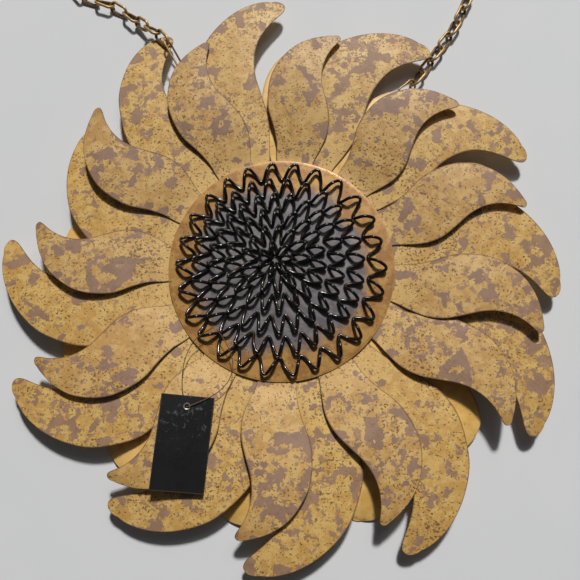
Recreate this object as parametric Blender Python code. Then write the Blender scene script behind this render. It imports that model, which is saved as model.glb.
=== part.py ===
"""A sheet-metal sunflower wall hanging, lying on its back with its chain loose above it.

Metres, +Z up out of the flower's face. Pieces are placed from the flower's axis, and the whole is then
moved so that the middle of its footprint is at X = Y = 0 and the surface it lies on is Z = 0.
Three layers of petals are spot-welded behind a seed disc, six crowned wire rings stand on the disc,
a chain is ringed to two of the back petals, and a blank tag is tied to the wire.
"""

import bisect
import math

import bmesh
import bpy
from mathutils import Matrix, Vector

MM = 0.001
SHEET = 0.9 * MM
TOUCH_GAP = 0.3 * MM
COLUMNS = 2

DISC_RADIUS = 113.5 * MM
DISC_THICK = 1.2 * MM

# Heights of the middle of each layer's sheet under the disc.
BACK_HUB_Z = 12.0 * MM
LAYER_STEP = SHEET + 0.5 * MM
MIDDLE_HUB_Z = BACK_HUB_Z + LAYER_STEP
FRONT_HUB_Z = MIDDLE_HUB_Z + LAYER_STEP
DISC_BOTTOM = FRONT_HUB_Z + SHEET / 2 + TOUCH_GAP
DISC_TOP = DISC_BOTTOM + DISC_THICK

# Petal edges in millimetres: x outwards from the flower's axis, y anticlockwise of the root's centre line.
# The first point of each edge is the end of the root, under the disc, and the second is at the disc's rim.
FRONT_EDGES = (
    [
        (82, 12), (114, 19), (131, 21), (147, 26), (166, 34), (184, 36.5), (203, 35),
        (220, 28), (236, 16), (247, 0), (253, -17), (255, -28),
    ],
    [
        (82, -12), (114, -19), (130, -25), (146, -30), (163, -30), (180, -25), (197, -19),
        (212, -17), (226, -19), (238, -24), (248, -31), (252, -33),
    ],
)
MIDDLE_EDGES = (
    [
        (82, 12), (114, 19), (135, 24), (158, 33), (182, 41), (208, 42), (232, 33),
        (256, 17), (274, -7), (284, -32), (286, -57), (280, -78),
    ],
    [
        (82, -12), (114, -19), (135, -24), (158, -28), (182, -27), (204, -26), (224, -30),
        (240, -38), (252, -50), (260, -62), (268, -76), (275, -82),
    ],
)
BACK_EDGES = (
    [
        (82, 12), (114, 18), (135, 24), (158, 29), (182, 31), (204, 29), (224, 22),
        (240, 10), (245, -2), (246, -14), (244, -26), (239, -37),
    ],
    [
        (82, -12), (114, -18), (133, -24), (154, -30), (174, -32), (192, -31), (206, -30),
        (216, -30), (224, -32), (229, -35), (233, -39), (236, -41),
    ],
)

# The petals anticlockwise: the angle of the root in degrees, then in millimetres the extra reach, the extra
# width on the anticlockwise side and on the clockwise side, and the extra height of the arch and of the tip.
FRONT_PETALS = [
    (-8, 2, 0, 0, 3, 4), (21, -4, 0, 0, 0, 2), (50, -8, 0, 0, 0, 5), (83, -1, 0, 0, 0, 2),
    (115, 0, 0, 0, 0, 1), (146, -6, 0, 0, 2, 10), (177, -8, 0, 0, 0, 6), (208, 0, 0, 0, 0, 1),
    (238, 2, 0, 0, 0, 0), (268, 3, 0, 2, 0, 0), (298, 4, 2, 0, 0, 3), (331, 6, 0, 0, 0, 5),
]
MIDDLE_PETALS = [
    (11, -16, 0, 9, 0, 0), (41, -13, 0, 0, 0, 0), (72.5, -6, 0, 8, 0, 0), (105.5, 5, -5, 3, 0, 0),
    (131.5, -2, -12, 3, 0, -5), (161, -44, 0, 0, 0, 0), (190.5, -9, 0, 0, 0, 0), (219.5, -3, 0, 2, 0, 0),
    (251, -9, 0, 0, 0, 0), (279.5, -2, 2, 0, 0, 0), (309, 4, 0, 0, 0, 2), (341.5, 1, 5, 0, 0, 2),
]
BACK_PETALS = [
    (25, -3, 0, 0, 0, 0), (55, -12, 0, 0, 0, 3), (86.5, -2, 2, 0, 0, 0), (115, 6, 0, 0, 0, 7),
    (145, -30, 0, 0, 0, 0), (175, -20, 0, 0, 0, 0), (205, -12, 0, 0, 0, 0), (235, 4, 2, 3, 0, 0),
    (265, 4, 0, 6, 0, 0), (295, 12, 0, 2, 0, 0), (320, 4, 0, 0, 0, 0), (355, -6, 0, 0, 0, 0),
]

# Each layer's rise to the top of its arch, where along the petal that is, and its fall from there to the tip.
FRONT_ARCH = (12.5 * MM, 0.6, 3.5 * MM)
MIDDLE_ARCH = (6.5 * MM, 0.55, 5.0 * MM)
BACK_ARCH = (0.3 * MM, 0.1, 11.8 * MM)
CROWN = 1.2 * MM

# The middle of each hanging hole, at the height of the sheet there.
LEFT_HOLE = Vector((-103, 213, 10.7)) * MM
RIGHT_HOLE = Vector((124, 187, 10.6)) * MM
HANGING_HOLE_RADIUS = 3.5 * MM

WIRE = 1.45 * MM
# Each ring from the outside in: its teeth, the radius of its outer tips in millimetres, the turn of its first
# tip in degrees, and where its middle is from the flower's axis in millimetres.
WIRE_RINGS = [
    (26, 106, 96, 0, 0.8), (27, 87.8, 96, -3, 2.7), (24, 70, 92, -4.5, 5.5),
    (19, 51.5, 86.4, -5.7, 8), (13, 34.5, 83, -6, 8.5), (7, 17.5, 100, -5.5, 8.5),
]
# The rings are drawn out a little towards the chain.
WIRE_STRETCH = (0.975, 1.015)
WIRE_TOOTH = 16 * MM
# The wire of one tooth from its tip on: the share of the pitch, the share of the way out from valley to tip,
# and the height in millimetres. One leg is arched and the other lies low, as in a flattened spring.
WIRE_BENDS = [
    (-0.08, 0.96, 3.4), (0.08, 0.96, 3.8), (0.25, 0.5, 6.8),
    (0.42, 0.04, 0.8), (0.58, 0.04, 0), (0.75, 0.5, 0.4),
]

LINK_LENGTH = 23.5 * MM
LINK_WIDTH = 13.5 * MM
LINK_WIRE = 1.3 * MM
# Links in a run rest on each other, and the runs hang loosely in each other.
LINK_PITCH = 18.75 * MM
RUN_LINKS = 4
RUNS = 11
LINK_LIFT = (LINK_WIDTH / 2 - LINK_WIRE) * math.sin(math.pi / 4) + LINK_WIRE
RING_WIDTH = 15 * MM
RING_WIRE = 1.05 * MM
# How far a ring's wire reaches past the joint with the chain.
RING_OVERHANG = 2.4 * MM

# Where the chain's centre line lies, in millimetres, from the left ring round to the right one.
CHAIN_ROUTE = [
    (-123, 247, 21), (-137, 262.5, 17), (-154, 277, 9.5), (-168, 288, 5.3), (-182, 299, 5.3),
    (-199, 306, 5.3), (-215, 311, 5.3), (-230, 321, 5.3), (-238, 338, 5.3), (-235, 356, 5.3),
    (-223, 370, 5.3), (-204, 377, 5.3), (-140, 380, 5.3), (-70, 379, 5.3), (0, 377, 5.3),
    (70, 374, 5.3), (130, 371, 5.3), (170, 368, 5.3), (190, 362, 5.3), (205, 349, 5.3),
    (211, 331, 5.3), (207, 310, 5.3), (198, 290, 5.3), (190, 273, 5.3), (180, 257, 5.3),
    (168, 241, 5.3), (154, 221, 5.6), (141, 203, 6.5),
]

TAG_SIZE = (50 * MM, 88 * MM, 0.6 * MM)
TAG_HOLE = (-88 * MM, -136 * MM)
TAG_HOLE_RADIUS = 2.2 * MM
EYELET_RADIUS = 3.4 * MM
TAG_TURN = -5.5
TAG_TILT = 8
TAG_Z = 30.2 * MM
TAG_HOLE_INSET = 10 * MM

STRING_RADIUS = 0.4 * MM
# The tag string's route in millimetres: from the wire, under the card, up through its eyelet and back.
STRING_ROUTE = [
    (-65, -61, 27.5), (-74, -66.5, 27.5), (-83, -73.5, 27.3), (-89.5, -84, 25.3), (-93, -96, 26),
    (-94.3, -109, 25.4), (-93.5, -121, 26.2), (-91.3, -129, 27.5), (-89.3, -134, 28.2), (-88.4, -136.4, 28.7),
    (-87.9, -137.4, 29.6), (-87.6, -137.6, 30.6), (-87.1, -136.9, 31.7), (-85.8, -135.9, 32.1),
    (-81, -133.8, 31.5), (-73, -130.5, 30), (-65, -126.5, 29), (-56.5, -120.5, 28.4), (-49.5, -112, 26.9),
    (-46, -102.5, 27.5), (-46, -93, 27.5), (-49.5, -82, 27.5), (-55.5, -71.5, 27.5), (-62, -62.6, 27.5),
]
STRING_STEP = 2.7 * MM


def metal(name, colour, roughness, metallic):
    """A Principled material of one colour."""
    made = bpy.data.materials.new(name)
    made.use_nodes = True
    shader = made.node_tree.nodes["Principled BSDF"]
    shader.inputs["Base Color"].default_value = (*colour, 1)
    shader.inputs["Roughness"].default_value = roughness
    shader.inputs["Metallic"].default_value = metallic
    return made


def add_object(name, data, material):
    """Links an object of that name and gives it its own material."""
    made = bpy.data.objects.new(name, data)
    bpy.context.scene.collection.objects.link(made)
    data.materials.append(material)
    return made


def mesh_object(name, points, faces, material):
    """A mesh object with its normals facing out."""
    mesh = bpy.data.meshes.new(name)
    mesh.from_pydata([tuple(p) for p in points], [], faces)
    shape = bmesh.new()
    shape.from_mesh(mesh)
    bmesh.ops.recalc_face_normals(shape, faces=shape.faces)
    shape.to_mesh(mesh)
    shape.free()
    return add_object(name, mesh, material)


def petal_points(edges, petal, hub_z, layer_arch):
    """Rows of points across one petal, from the end of its root to its tip."""
    angle, reach, left_extra, right_extra, extra_rise, lift = petal
    rise, top, fall = layer_arch
    turn = math.radians(angle)
    rows = []
    last = len(edges[0]) - 1
    for step, (left, right) in enumerate(zip(*edges)):
        share = max(0, step - 1) / (last - 1)
        up = math.sin(math.pi / 2 * min(share / top, 1))
        down = max(0, share - top) / (1 - top)
        middle_z = hub_z + (rise + extra_rise * MM) * up - fall * down**1.6 + lift * MM * share**2
        bulge = CROWN * math.sin(math.pi * min(1, share * 1.1))
        belly = math.sin(math.pi * share)
        further = reach * math.sin(math.pi / 2 * share)
        row = []
        for column in range(COLUMNS + 1):
            across = column / COLUMNS
            x = left[0] + (right[0] - left[0]) * across + further
            y = (left[1] + left_extra * belly) * (1 - across) + (right[1] - right_extra * belly) * across
            row.append((
                MM * (x * math.cos(turn) - y * math.sin(turn)),
                MM * (x * math.sin(turn) + y * math.cos(turn)),
                middle_z + bulge * (1 - (2 * across - 1) ** 2),
            ))
        rows.append(row)
    return rows


def add_petals(layer, edges, petals, hub_z, layer_arch, paint):
    """One layer of petals, each cut from its own piece of sheet."""
    width = COLUMNS + 1
    for number, petal in enumerate(petals, start=1):
        rows = petal_points(edges, petal, hub_z, layer_arch)
        faces = []
        for r in range(len(rows) - 1):
            for c in range(COLUMNS):
                corner = r * width + c
                faces.append((corner, corner + width, corner + width + 1, corner + 1))
        name = f"{layer}_petal_{number:02d}"
        sheet = mesh_object(name, sum(rows, []), faces, metal(f"{name}_paint", *paint))
        skin = sheet.modifiers.new("sheet", "SOLIDIFY")
        skin.thickness = SHEET
        skin.offset = 0


def drill(sheet, centre, radius):
    """Cuts an upright hole through a sheet."""
    shape = bmesh.new()
    bmesh.ops.create_cone(
        shape, cap_ends=True, segments=16, radius1=radius, radius2=radius, depth=60 * MM,
        matrix=Matrix.Translation((*centre, 0)),
    )
    mesh = bpy.data.meshes.new("drill")
    shape.to_mesh(mesh)
    shape.free()
    cutter = bpy.data.objects.new("drill", mesh)
    bpy.context.scene.collection.objects.link(cutter)
    cut = sheet.modifiers.new("hole", "BOOLEAN")
    cut.operation = "DIFFERENCE"
    cut.object = cutter
    apply_modifiers(sheet, cutter)


def apply_modifiers(target, cutter):
    """Bakes the modifiers into the mesh, so that the cutter can go."""
    bpy.context.view_layer.update()
    finished = bpy.data.meshes.new_from_object(target.evaluated_get(bpy.context.evaluated_depsgraph_get()))
    target.modifiers.clear()
    target.data = finished
    bpy.data.objects.remove(cutter)


def lathe(name, profile, segments, material):
    """A closed solid turned about Z from (radius, z) pairs that start and end on the axis."""
    points, faces, rings = [], [], []
    for radius, z in profile:
        count = 1 if radius == 0 else segments
        rings.append(range(len(points), len(points) + count))
        for k in range(count):
            turn = 2 * math.pi * k / segments
            points.append((radius * math.cos(turn), radius * math.sin(turn), z))
    for low, high in zip(rings, rings[1:]):
        for k in range(segments):
            after = (k + 1) % segments
            corners = [low[k % len(low)], low[after % len(low)], high[after % len(high)], high[k % len(high)]]
            faces.append(tuple(dict.fromkeys(corners)))
    return mesh_object(name, points, faces, material)


def closed_wire(name, path, radius, sides, material):
    """A round wire swept along a closed path."""
    count = len(path)
    tangents = [(path[(k + 1) % count] - path[k - 1]).normalized() for k in range(count)]
    normal = tangents[0].orthogonal().normalized()
    frames = []
    for tangent in tangents:
        normal = (normal - tangent * normal.dot(tangent)).normalized()
        frames.append((normal.copy(), tangent.cross(normal)))
    # What the frame has turned by after one lap is spread evenly over the path.
    closing = (normal - tangents[0] * normal.dot(tangents[0])).normalized()
    slip = math.atan2(closing.dot(frames[0][1]), closing.dot(frames[0][0]))
    points, faces = [], []
    for k, (normal, side) in enumerate(frames):
        for s in range(sides):
            turn = 2 * math.pi * s / sides - slip * k / count
            points.append(path[k] + radius * (math.cos(turn) * normal + math.sin(turn) * side))
    for k in range(count):
        for s in range(sides):
            a, b = k * sides, (k + 1) % count * sides
            t = (s + 1) % sides
            faces.append((a + s, b + s, b + t, a + t))
    return mesh_object(name, points, faces, material)


def coil_path(teeth, tip_radius, first_turn, middle_x, middle_y):
    """The middle line of one wire ring, bent like a spring that was drawn out and pressed nearly flat."""
    low = DISC_TOP + TOUCH_GAP + WIRE
    valley_radius = max(tip_radius * MM - WIRE_TOOTH, 4.5 * MM)
    path = []
    for k in range(teeth):
        for offset, out, height in WIRE_BENDS:
            turn = math.radians(first_turn) + 2 * math.pi * (k + offset) / teeth
            radius = valley_radius + (tip_radius * MM - valley_radius) * out
            path.append(Vector((
                middle_x * MM + radius * math.cos(turn) * WIRE_STRETCH[0],
                middle_y * MM + radius * math.sin(turn) * WIRE_STRETCH[1],
                low + height * MM,
            )))
    return path


def oval_path(length, width, wire, arc_points):
    """The middle line of a chain link along X, in the XY plane."""
    radius = width / 2 - wire
    half = length / 2 - wire - radius
    path = []
    for sign in (1, -1):
        for k in range(arc_points):
            turn = -math.pi / 2 + math.pi * k / (arc_points - 1)
            path.append(Vector((sign * (half + radius * math.cos(turn)), sign * radius * math.sin(turn), 0)))
    return path


def link_place(start, end, roll):
    """The place of a link whose middle is between two points, rolled about the line that joins them."""
    along = (end - start).normalized()
    side = Vector((0, 0, 1)).cross(along).normalized()
    up = along.cross(side)
    turned = side * math.cos(roll) + up * math.sin(roll)
    third = along.cross(turned)
    return Matrix.Translation((start + end) / 2) @ Matrix((along, turned, third)).transposed().to_4x4()


def smooth_route(points):
    """Close points on a smooth curve through the given ones, and how far along the curve each is."""
    knots = [Vector(p) * MM for p in points]
    knots = [2 * knots[0] - knots[1], *knots, 2 * knots[-1] - knots[-2]]
    fine = []
    for a, b, c, d in zip(knots, knots[1:], knots[2:], knots[3:]):
        for k in range(40):
            t = k / 40
            bend = (2 * a - 5 * b + 4 * c - d) * t**2 + (3 * b - a - 3 * c + d) * t**3
            fine.append(0.5 * (2 * b + (c - a) * t + bend))
    fine.append(knots[-2])
    lengths = [0]
    for a, b in zip(fine, fine[1:]):
        lengths.append(lengths[-1] + (b - a).length)
    return fine, lengths


def point_along(route, distance):
    """The point of a route at a distance from its start."""
    fine, lengths = route
    at = min(max(bisect.bisect_right(lengths, distance) - 1, 0), len(fine) - 2)
    return fine[at].lerp(fine[at + 1], (distance - lengths[at]) / (lengths[at + 1] - lengths[at]))


def add_run(name, links, material):
    """A run of links, each resting on the last, joined into one solid."""
    path = oval_path(LINK_LENGTH, LINK_WIDTH, LINK_WIRE, 5)
    run = None
    for place in links:
        link = closed_wire(name, path, LINK_WIRE, 5, material)
        link.matrix_world = place
        if run is None:
            run = link
            continue
        join = run.modifiers.new("join", "BOOLEAN")
        join.operation = "UNION"
        join.object = link
        apply_modifiers(run, link)
    run.name = name


def add_chain(material):
    """The two end rings and the runs of links between them, each link rolled the other way from the last."""
    route = smooth_route(CHAIN_ROUTE)
    length = route[1][-1]
    links = RUNS * RUN_LINKS
    loose_pitch = (length - LINK_PITCH * (1 + links - RUNS)) / (RUNS - 1)
    middle = LINK_PITCH / 2
    for run in range(RUNS):
        places = []
        for k in range(RUN_LINKS):
            start, end = (point_along(route, middle + half) for half in (-LINK_PITCH / 2, LINK_PITCH / 2))
            places.append(link_place(start, end, math.pi / 4 if k % 2 else -math.pi / 4))
            middle += loose_pitch if k == RUN_LINKS - 1 else LINK_PITCH
        add_run(f"chain_run_{run + 1:02d}", places, material(f"chain_metal_{run + 1:02d}"))
    # Each ring crosses the link beside it. Seen from the right ring, the last link rolls the other way.
    for name, hole, joint, turn in (
        ("left_hanging_ring", LEFT_HOLE, point_along(route, 0), math.pi / 3),
        ("right_hanging_ring", RIGHT_HOLE, point_along(route, length), math.pi / 4),
    ):
        outer = joint + (joint - hole).normalized() * RING_OVERHANG
        path = oval_path((outer - hole).length + 2 * RING_WIRE, RING_WIDTH, RING_WIRE, 7)
        ring = closed_wire(name, path, RING_WIRE, 5, material(name + "_metal"))
        ring.matrix_world = link_place(hole, outer, turn)


def add_tag(card, eyelet):
    """The blank card with its hole, and the metal eyelet in the hole."""
    width, length, thick = TAG_SIZE
    turn = Matrix.Rotation(math.radians(TAG_TURN), 4, "Z") @ Matrix.Rotation(math.radians(TAG_TILT), 4, "Y")
    place = Matrix.Translation((TAG_HOLE[0], TAG_HOLE[1], TAG_Z)) @ turn
    shape = bmesh.new()
    middle = Vector((0, TAG_HOLE_INSET - length / 2, 0))
    stretch = Matrix.Diagonal((width, length, thick, 1))
    bmesh.ops.create_cube(shape, size=1, matrix=Matrix.Translation(middle) @ stretch)
    mesh = bpy.data.meshes.new("hang_tag")
    shape.to_mesh(mesh)
    shape.free()
    tag = add_object("hang_tag", mesh, card)
    drill(tag, (0, 0), EYELET_RADIUS - 0.6 * MM)
    tag.matrix_world = place
    outer, barrel, inner = EYELET_RADIUS, EYELET_RADIUS - 0.9 * MM, TAG_HOLE_RADIUS
    half, lip = thick / 2 + TOUCH_GAP / 3, thick / 2 + TOUCH_GAP / 3 + 0.35 * MM
    profile = [
        (inner, -lip), (outer, -lip), (outer, -half), (barrel, -half),
        (barrel, half), (outer, half), (outer, lip), (inner, lip),
    ]
    points, faces, segments = [], [], 20
    for k in range(segments):
        angle = 2 * math.pi * k / segments
        points += [(r * math.cos(angle), r * math.sin(angle), z) for r, z in profile]
    count = len(profile)
    for k in range(segments):
        a, b = k * count, (k + 1) % segments * count
        for p in range(count):
            q = (p + 1) % count
            faces.append((a + p, b + p, b + q, a + q))
    ring = mesh_object("tag_eyelet", points, faces, eyelet)
    ring.matrix_world = place


def add_string(material):
    """The string as a tube along its route."""
    route = smooth_route(STRING_ROUTE)
    steps = round(route[1][-1] / STRING_STEP)
    curve = bpy.data.curves.new("tag_string", "CURVE")
    curve.dimensions = "3D"
    curve.bevel_depth = STRING_RADIUS
    curve.bevel_resolution = 1
    curve.use_fill_caps = True
    spline = curve.splines.new("POLY")
    spline.points.add(steps)
    for k, point in enumerate(spline.points):
        point.co = (*point_along(route, route[1][-1] * k / steps), 1)
    add_object("tag_string", curve, material)


def centre_on_surface():
    """Moves everything so that the middle of the object's footprint is at X = Y = 0 and it lies on Z = 0."""
    bpy.context.view_layer.update()
    graph = bpy.context.evaluated_depsgraph_get()
    low, high = Vector((1, 1, 1)), Vector((-1, -1, -1))
    for piece in bpy.context.scene.objects:
        if piece.name == "tag_string":
            continue
        shape = piece.evaluated_get(graph)
        for corner in shape.data.vertices:
            place = piece.matrix_world @ corner.co
            low = Vector(map(min, low, place))
            high = Vector(map(max, high, place))
    shift = Vector(((low.x + high.x) / 2, (low.y + high.y) / 2, low.z))
    for piece in bpy.context.scene.objects:
        piece.matrix_world = Matrix.Translation(-shift) @ piece.matrix_world


def build():
    """Clears the scene and makes every piece."""
    for old in list(bpy.data.objects):
        bpy.data.objects.remove(old)
    plain = ((0.62, 0.42, 0.14), 0.5, 0.2)
    ochre = ((0.5, 0.34, 0.13), 0.5, 0.2)
    mauve = ((0.5, 0.33, 0.14), 0.5, 0.2)
    add_petals("back", BACK_EDGES, BACK_PETALS, BACK_HUB_Z, BACK_ARCH, plain)
    drill(bpy.data.objects["back_petal_04"], LEFT_HOLE.xy, HANGING_HOLE_RADIUS)
    drill(bpy.data.objects["back_petal_02"], RIGHT_HOLE.xy, HANGING_HOLE_RADIUS)
    add_petals("middle", MIDDLE_EDGES, MIDDLE_PETALS, MIDDLE_HUB_Z, MIDDLE_ARCH, ochre)
    add_petals("front", FRONT_EDGES, FRONT_PETALS, FRONT_HUB_Z, FRONT_ARCH, mauve)
    edge = 0.4 * MM
    profile = [
        (0, DISC_BOTTOM), (DISC_RADIUS, DISC_BOTTOM), (DISC_RADIUS, DISC_TOP - edge),
        (DISC_RADIUS - edge, DISC_TOP), (0, DISC_TOP),
    ]
    lathe("seed_disc", profile, 72, metal("seed_disc_paint", (0.4, 0.22, 0.07), 0.45, 0.4))
    for number, ring in enumerate(WIRE_RINGS, start=1):
        wire = metal(f"wire_paint_{number}", (0.012, 0.011, 0.01), 0.3, 0.5)
        closed_wire(f"wire_ring_{number}", coil_path(*ring), WIRE, 5, wire)
    add_chain(lambda name: metal(name, (0.25, 0.16, 0.06), 0.4, 0.9))
    add_tag(
        metal("tag_card", (0.012, 0.012, 0.014), 0.45, 0.0),
        metal("tag_eyelet_metal", (0.6, 0.58, 0.54), 0.35, 0.9),
    )
    add_string(metal("tag_string_fibre", (0.05, 0.035, 0.03), 0.8, 0.0))
    centre_on_surface()


build()
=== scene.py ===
"""The looks of a sheet-metal sunflower wall hanging that lies on its back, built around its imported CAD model.

Places are in the flower's own frame, from the flower's axis and the surface that it lies on, in millimetres
where a table says so, and here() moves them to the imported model's frame. Every visible piece is remade finely
and stands for its CAD node: the petals, the seed disc, the wire rings, each link of the chain and its two
end rings, and the tag with its eyelet and string.
"""

import bisect
import itertools
import math
import random

import bmesh
import bpy
import numpy as np
from mathutils import Matrix, Vector


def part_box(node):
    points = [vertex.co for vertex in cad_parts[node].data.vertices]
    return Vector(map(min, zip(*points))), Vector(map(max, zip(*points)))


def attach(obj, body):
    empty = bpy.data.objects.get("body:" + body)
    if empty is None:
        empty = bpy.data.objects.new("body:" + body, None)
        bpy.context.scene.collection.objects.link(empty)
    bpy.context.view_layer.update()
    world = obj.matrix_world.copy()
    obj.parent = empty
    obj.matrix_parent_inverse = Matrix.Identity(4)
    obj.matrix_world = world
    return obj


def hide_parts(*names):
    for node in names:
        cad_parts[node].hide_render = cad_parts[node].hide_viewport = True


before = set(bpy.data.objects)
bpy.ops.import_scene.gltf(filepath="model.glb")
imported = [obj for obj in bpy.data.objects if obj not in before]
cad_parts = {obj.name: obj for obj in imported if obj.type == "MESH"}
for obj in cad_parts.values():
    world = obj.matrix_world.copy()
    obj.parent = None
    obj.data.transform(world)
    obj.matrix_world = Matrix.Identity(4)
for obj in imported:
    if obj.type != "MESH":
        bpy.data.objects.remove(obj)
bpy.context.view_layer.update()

MM = 0.001
SHEET = 0.9 * MM
TOUCH_GAP = 0.3 * MM
DISC_RADIUS = 113.5 * MM
DISC_THICK = 1.2 * MM
BACK_HUB_Z = 12.0 * MM
LAYER_STEP = SHEET + 0.5 * MM
MIDDLE_HUB_Z = BACK_HUB_Z + LAYER_STEP
FRONT_HUB_Z = MIDDLE_HUB_Z + LAYER_STEP
DISC_BOTTOM = FRONT_HUB_Z + SHEET / 2 + TOUCH_GAP
DISC_TOP = DISC_BOTTOM + DISC_THICK

disc_low, disc_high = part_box("seed_disc")
AXIS = Vector(((disc_low.x + disc_high.x) / 2, (disc_low.y + disc_high.y) / 2, disc_low.z - DISC_BOTTOM))

# Petal edges in millimetres: x outwards from the flower's axis, y anticlockwise of the root's centre line.
FRONT_EDGES = (
    [
        (82, 12), (114, 19), (131, 21), (147, 26), (166, 34), (184, 36.5), (203, 35),
        (220, 28), (236, 16), (247, 0), (253, -17), (255, -28),
    ],
    [
        (82, -12), (114, -19), (130, -25), (146, -30), (163, -30), (180, -25), (197, -19),
        (212, -17), (226, -19), (238, -24), (248, -31), (252, -33),
    ],
)
MIDDLE_EDGES = (
    [
        (82, 12), (114, 19), (135, 24), (158, 33), (182, 41), (208, 42), (232, 33),
        (256, 17), (274, -7), (284, -32), (286, -57), (280, -78),
    ],
    [
        (82, -12), (114, -19), (135, -24), (158, -28), (182, -27), (204, -26), (224, -30),
        (240, -38), (252, -50), (260, -62), (268, -76), (275, -82),
    ],
)
BACK_EDGES = (
    [
        (82, 12), (114, 18), (135, 24), (158, 29), (182, 31), (204, 29), (224, 22),
        (240, 10), (245, -2), (246, -14), (244, -26), (239, -37),
    ],
    [
        (82, -12), (114, -18), (133, -24), (154, -30), (174, -32), (192, -31), (206, -30),
        (216, -30), (224, -32), (229, -35), (233, -39), (236, -41),
    ],
)

# The petals anticlockwise: the angle of the root in degrees, then in millimetres the extra reach, the extra
# width on the anticlockwise side and on the clockwise side, and the extra height of the arch and of the tip.
FRONT_PETALS = [
    (-8, 2, 0, 0, 3, 4), (21, -4, 0, 0, 0, 2), (50, -8, 0, 0, 0, 5), (83, -1, 0, 0, 0, 2),
    (115, 0, 0, 0, 0, 1), (146, -6, 0, 0, 2, 10), (177, -8, 0, 0, 0, 6), (208, 0, 0, 0, 0, 1),
    (238, 2, 0, 0, 0, 0), (268, 3, 0, 2, 0, 0), (298, 4, 2, 0, 0, 3), (331, 6, 0, 0, 0, 5),
]
MIDDLE_PETALS = [
    (11, -16, 0, 9, 0, 0), (41, -13, 0, 0, 0, 0), (72.5, -6, 0, 8, 0, 0), (105.5, 5, -5, 3, 0, 0),
    (131.5, -2, -12, 3, 0, -5), (160, -40, 0, 0, 0, 0), (190.5, -9, 0, 0, 0, 0), (219.5, -3, 0, 2, 0, 0),
    (251, -9, 0, 0, 0, 0), (279.5, -2, 2, 0, 0, 0), (309, 4, 0, 0, 0, 2), (341.5, 1, 5, 0, 0, 2),
]
BACK_PETALS = [
    (25, -3, 0, 0, 0, 0), (55, -12, 0, 0, 0, 3), (86.5, -2, 2, 0, 0, 0), (115, 6, 0, 0, 0, 7),
    (145, -30, 0, 0, 0, 0), (175, -20, 0, 0, 0, 0), (205, -12, 0, 0, 0, 0), (235, 4, 2, 3, 0, 0),
    (265, 4, 0, 6, 0, 0), (295, 12, 0, 2, 0, 0), (320, 4, 0, 0, 0, 0), (355, -6, 0, 0, 0, 0),
]

# Each layer's rise to the top of its arch, where along the petal that is, and its fall from there to the tip.
FRONT_ARCH = (12.5 * MM, 0.6, 3.5 * MM)
MIDDLE_ARCH = (6.5 * MM, 0.55, 5.0 * MM)
BACK_ARCH = (0.3 * MM, 0.1, 11.8 * MM)
# How far a petal's middle stands above its edges, and how far its sheet waves.
CROWN = 1.2 * MM
RIPPLE = 0.35 * MM
EDGE_STEPS = 16
PETAL_ROWS = 46
PETAL_COLUMNS = 12
TIP_ROWS = 7
# About how far apart the rows at the tip are, and how wide the worn rim is.
TIP_ROW_LENGTH = 1.2 * MM
RIM_WIDTH = 3 * MM
# How much of each layer's petals is cut away at the tip before it is rounded.
TIP_CUT = {"front": 0.038, "middle": 0.05, "back": 0.03}

LEFT_HOLE = Vector((-103, 213, 10.7)) * MM
RIGHT_HOLE = Vector((124, 187, 10.6)) * MM
HANGING_HOLE_RADIUS = 3.5 * MM
DRILLED = {"back_petal_04": LEFT_HOLE, "back_petal_02": RIGHT_HOLE}

WIRE = 1.45 * MM
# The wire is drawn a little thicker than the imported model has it.
DRAWN_WIRE = 1.14 * WIRE
# Each ring from the outside in: its teeth, the radius of its outer tips in millimetres, the turn of its first
# tip in degrees, and where its middle is from the flower's axis in millimetres.
WIRE_RINGS = [
    (26, 106, 96, 0, 0.8), (27, 87.8, 96, -3, 2.7), (24, 70, 92, -4.5, 5.5),
    (19, 51.5, 86.4, -5.7, 8), (13, 34.5, 83, -6, 8.5), (7, 17.5, 100, -5.5, 8.5),
]
# The rings are drawn out a little towards the chain.
WIRE_STRETCH = (0.975, 1.015)
WIRE_TOOTH = 16 * MM
LEAST_VALLEY_RADIUS = 4.5 * MM
# The wire of one tooth from its tip on: the share of the pitch, the share of the way out from valley to tip,
# and the height in millimetres. One leg is arched and the other lies low, as in a flattened spring.
WIRE_BENDS = [
    (-0.08, 0.96, 3.4), (0.08, 0.96, 3.8), (0.25, 0.5, 6.8),
    (0.42, 0.04, 0.8), (0.58, 0.04, 0), (0.75, 0.5, 0.4),
]
BEND_STEPS = 5
# How high the wire is where it no longer counts as low.
WIRE_RAISED = 5 * MM

LINK_LENGTH = 23.5 * MM
LINK_WIDTH = 13.5 * MM
LINK_WIRE = 1.6 * MM
LINK_TWIST = math.radians(24)
RUN_LINKS = 4
RUNS = 11
RING_WIDTH = 15 * MM
RING_WIRE = 1.05 * MM
# How far a ring's wire reaches past the joint with the chain.
RING_OVERHANG = 2.4 * MM

# Where the chain's centre line lies, in millimetres, from the left ring round to the right one.
CHAIN_ROUTE = [
    (-123, 247, 21), (-137, 262.5, 17), (-154, 277, 9.5), (-168, 288, 5.3), (-182, 299, 5.3),
    (-199, 306, 5.3), (-215, 311, 5.3), (-230, 321, 5.3), (-238, 338, 5.3), (-235, 356, 5.3),
    (-223, 370, 5.3), (-204, 377, 5.3), (-140, 380, 5.3), (-70, 379, 5.3), (0, 377, 5.3),
    (70, 374, 5.3), (130, 371, 5.3), (170, 368, 5.3), (190, 362, 5.3), (205, 349, 5.3),
    (211, 331, 5.3), (207, 310, 5.3), (198, 290, 5.3), (190, 273, 5.3), (180, 257, 5.3),
    (168, 241, 5.3), (154, 221, 5.6), (141, 203, 6.5),
]

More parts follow.
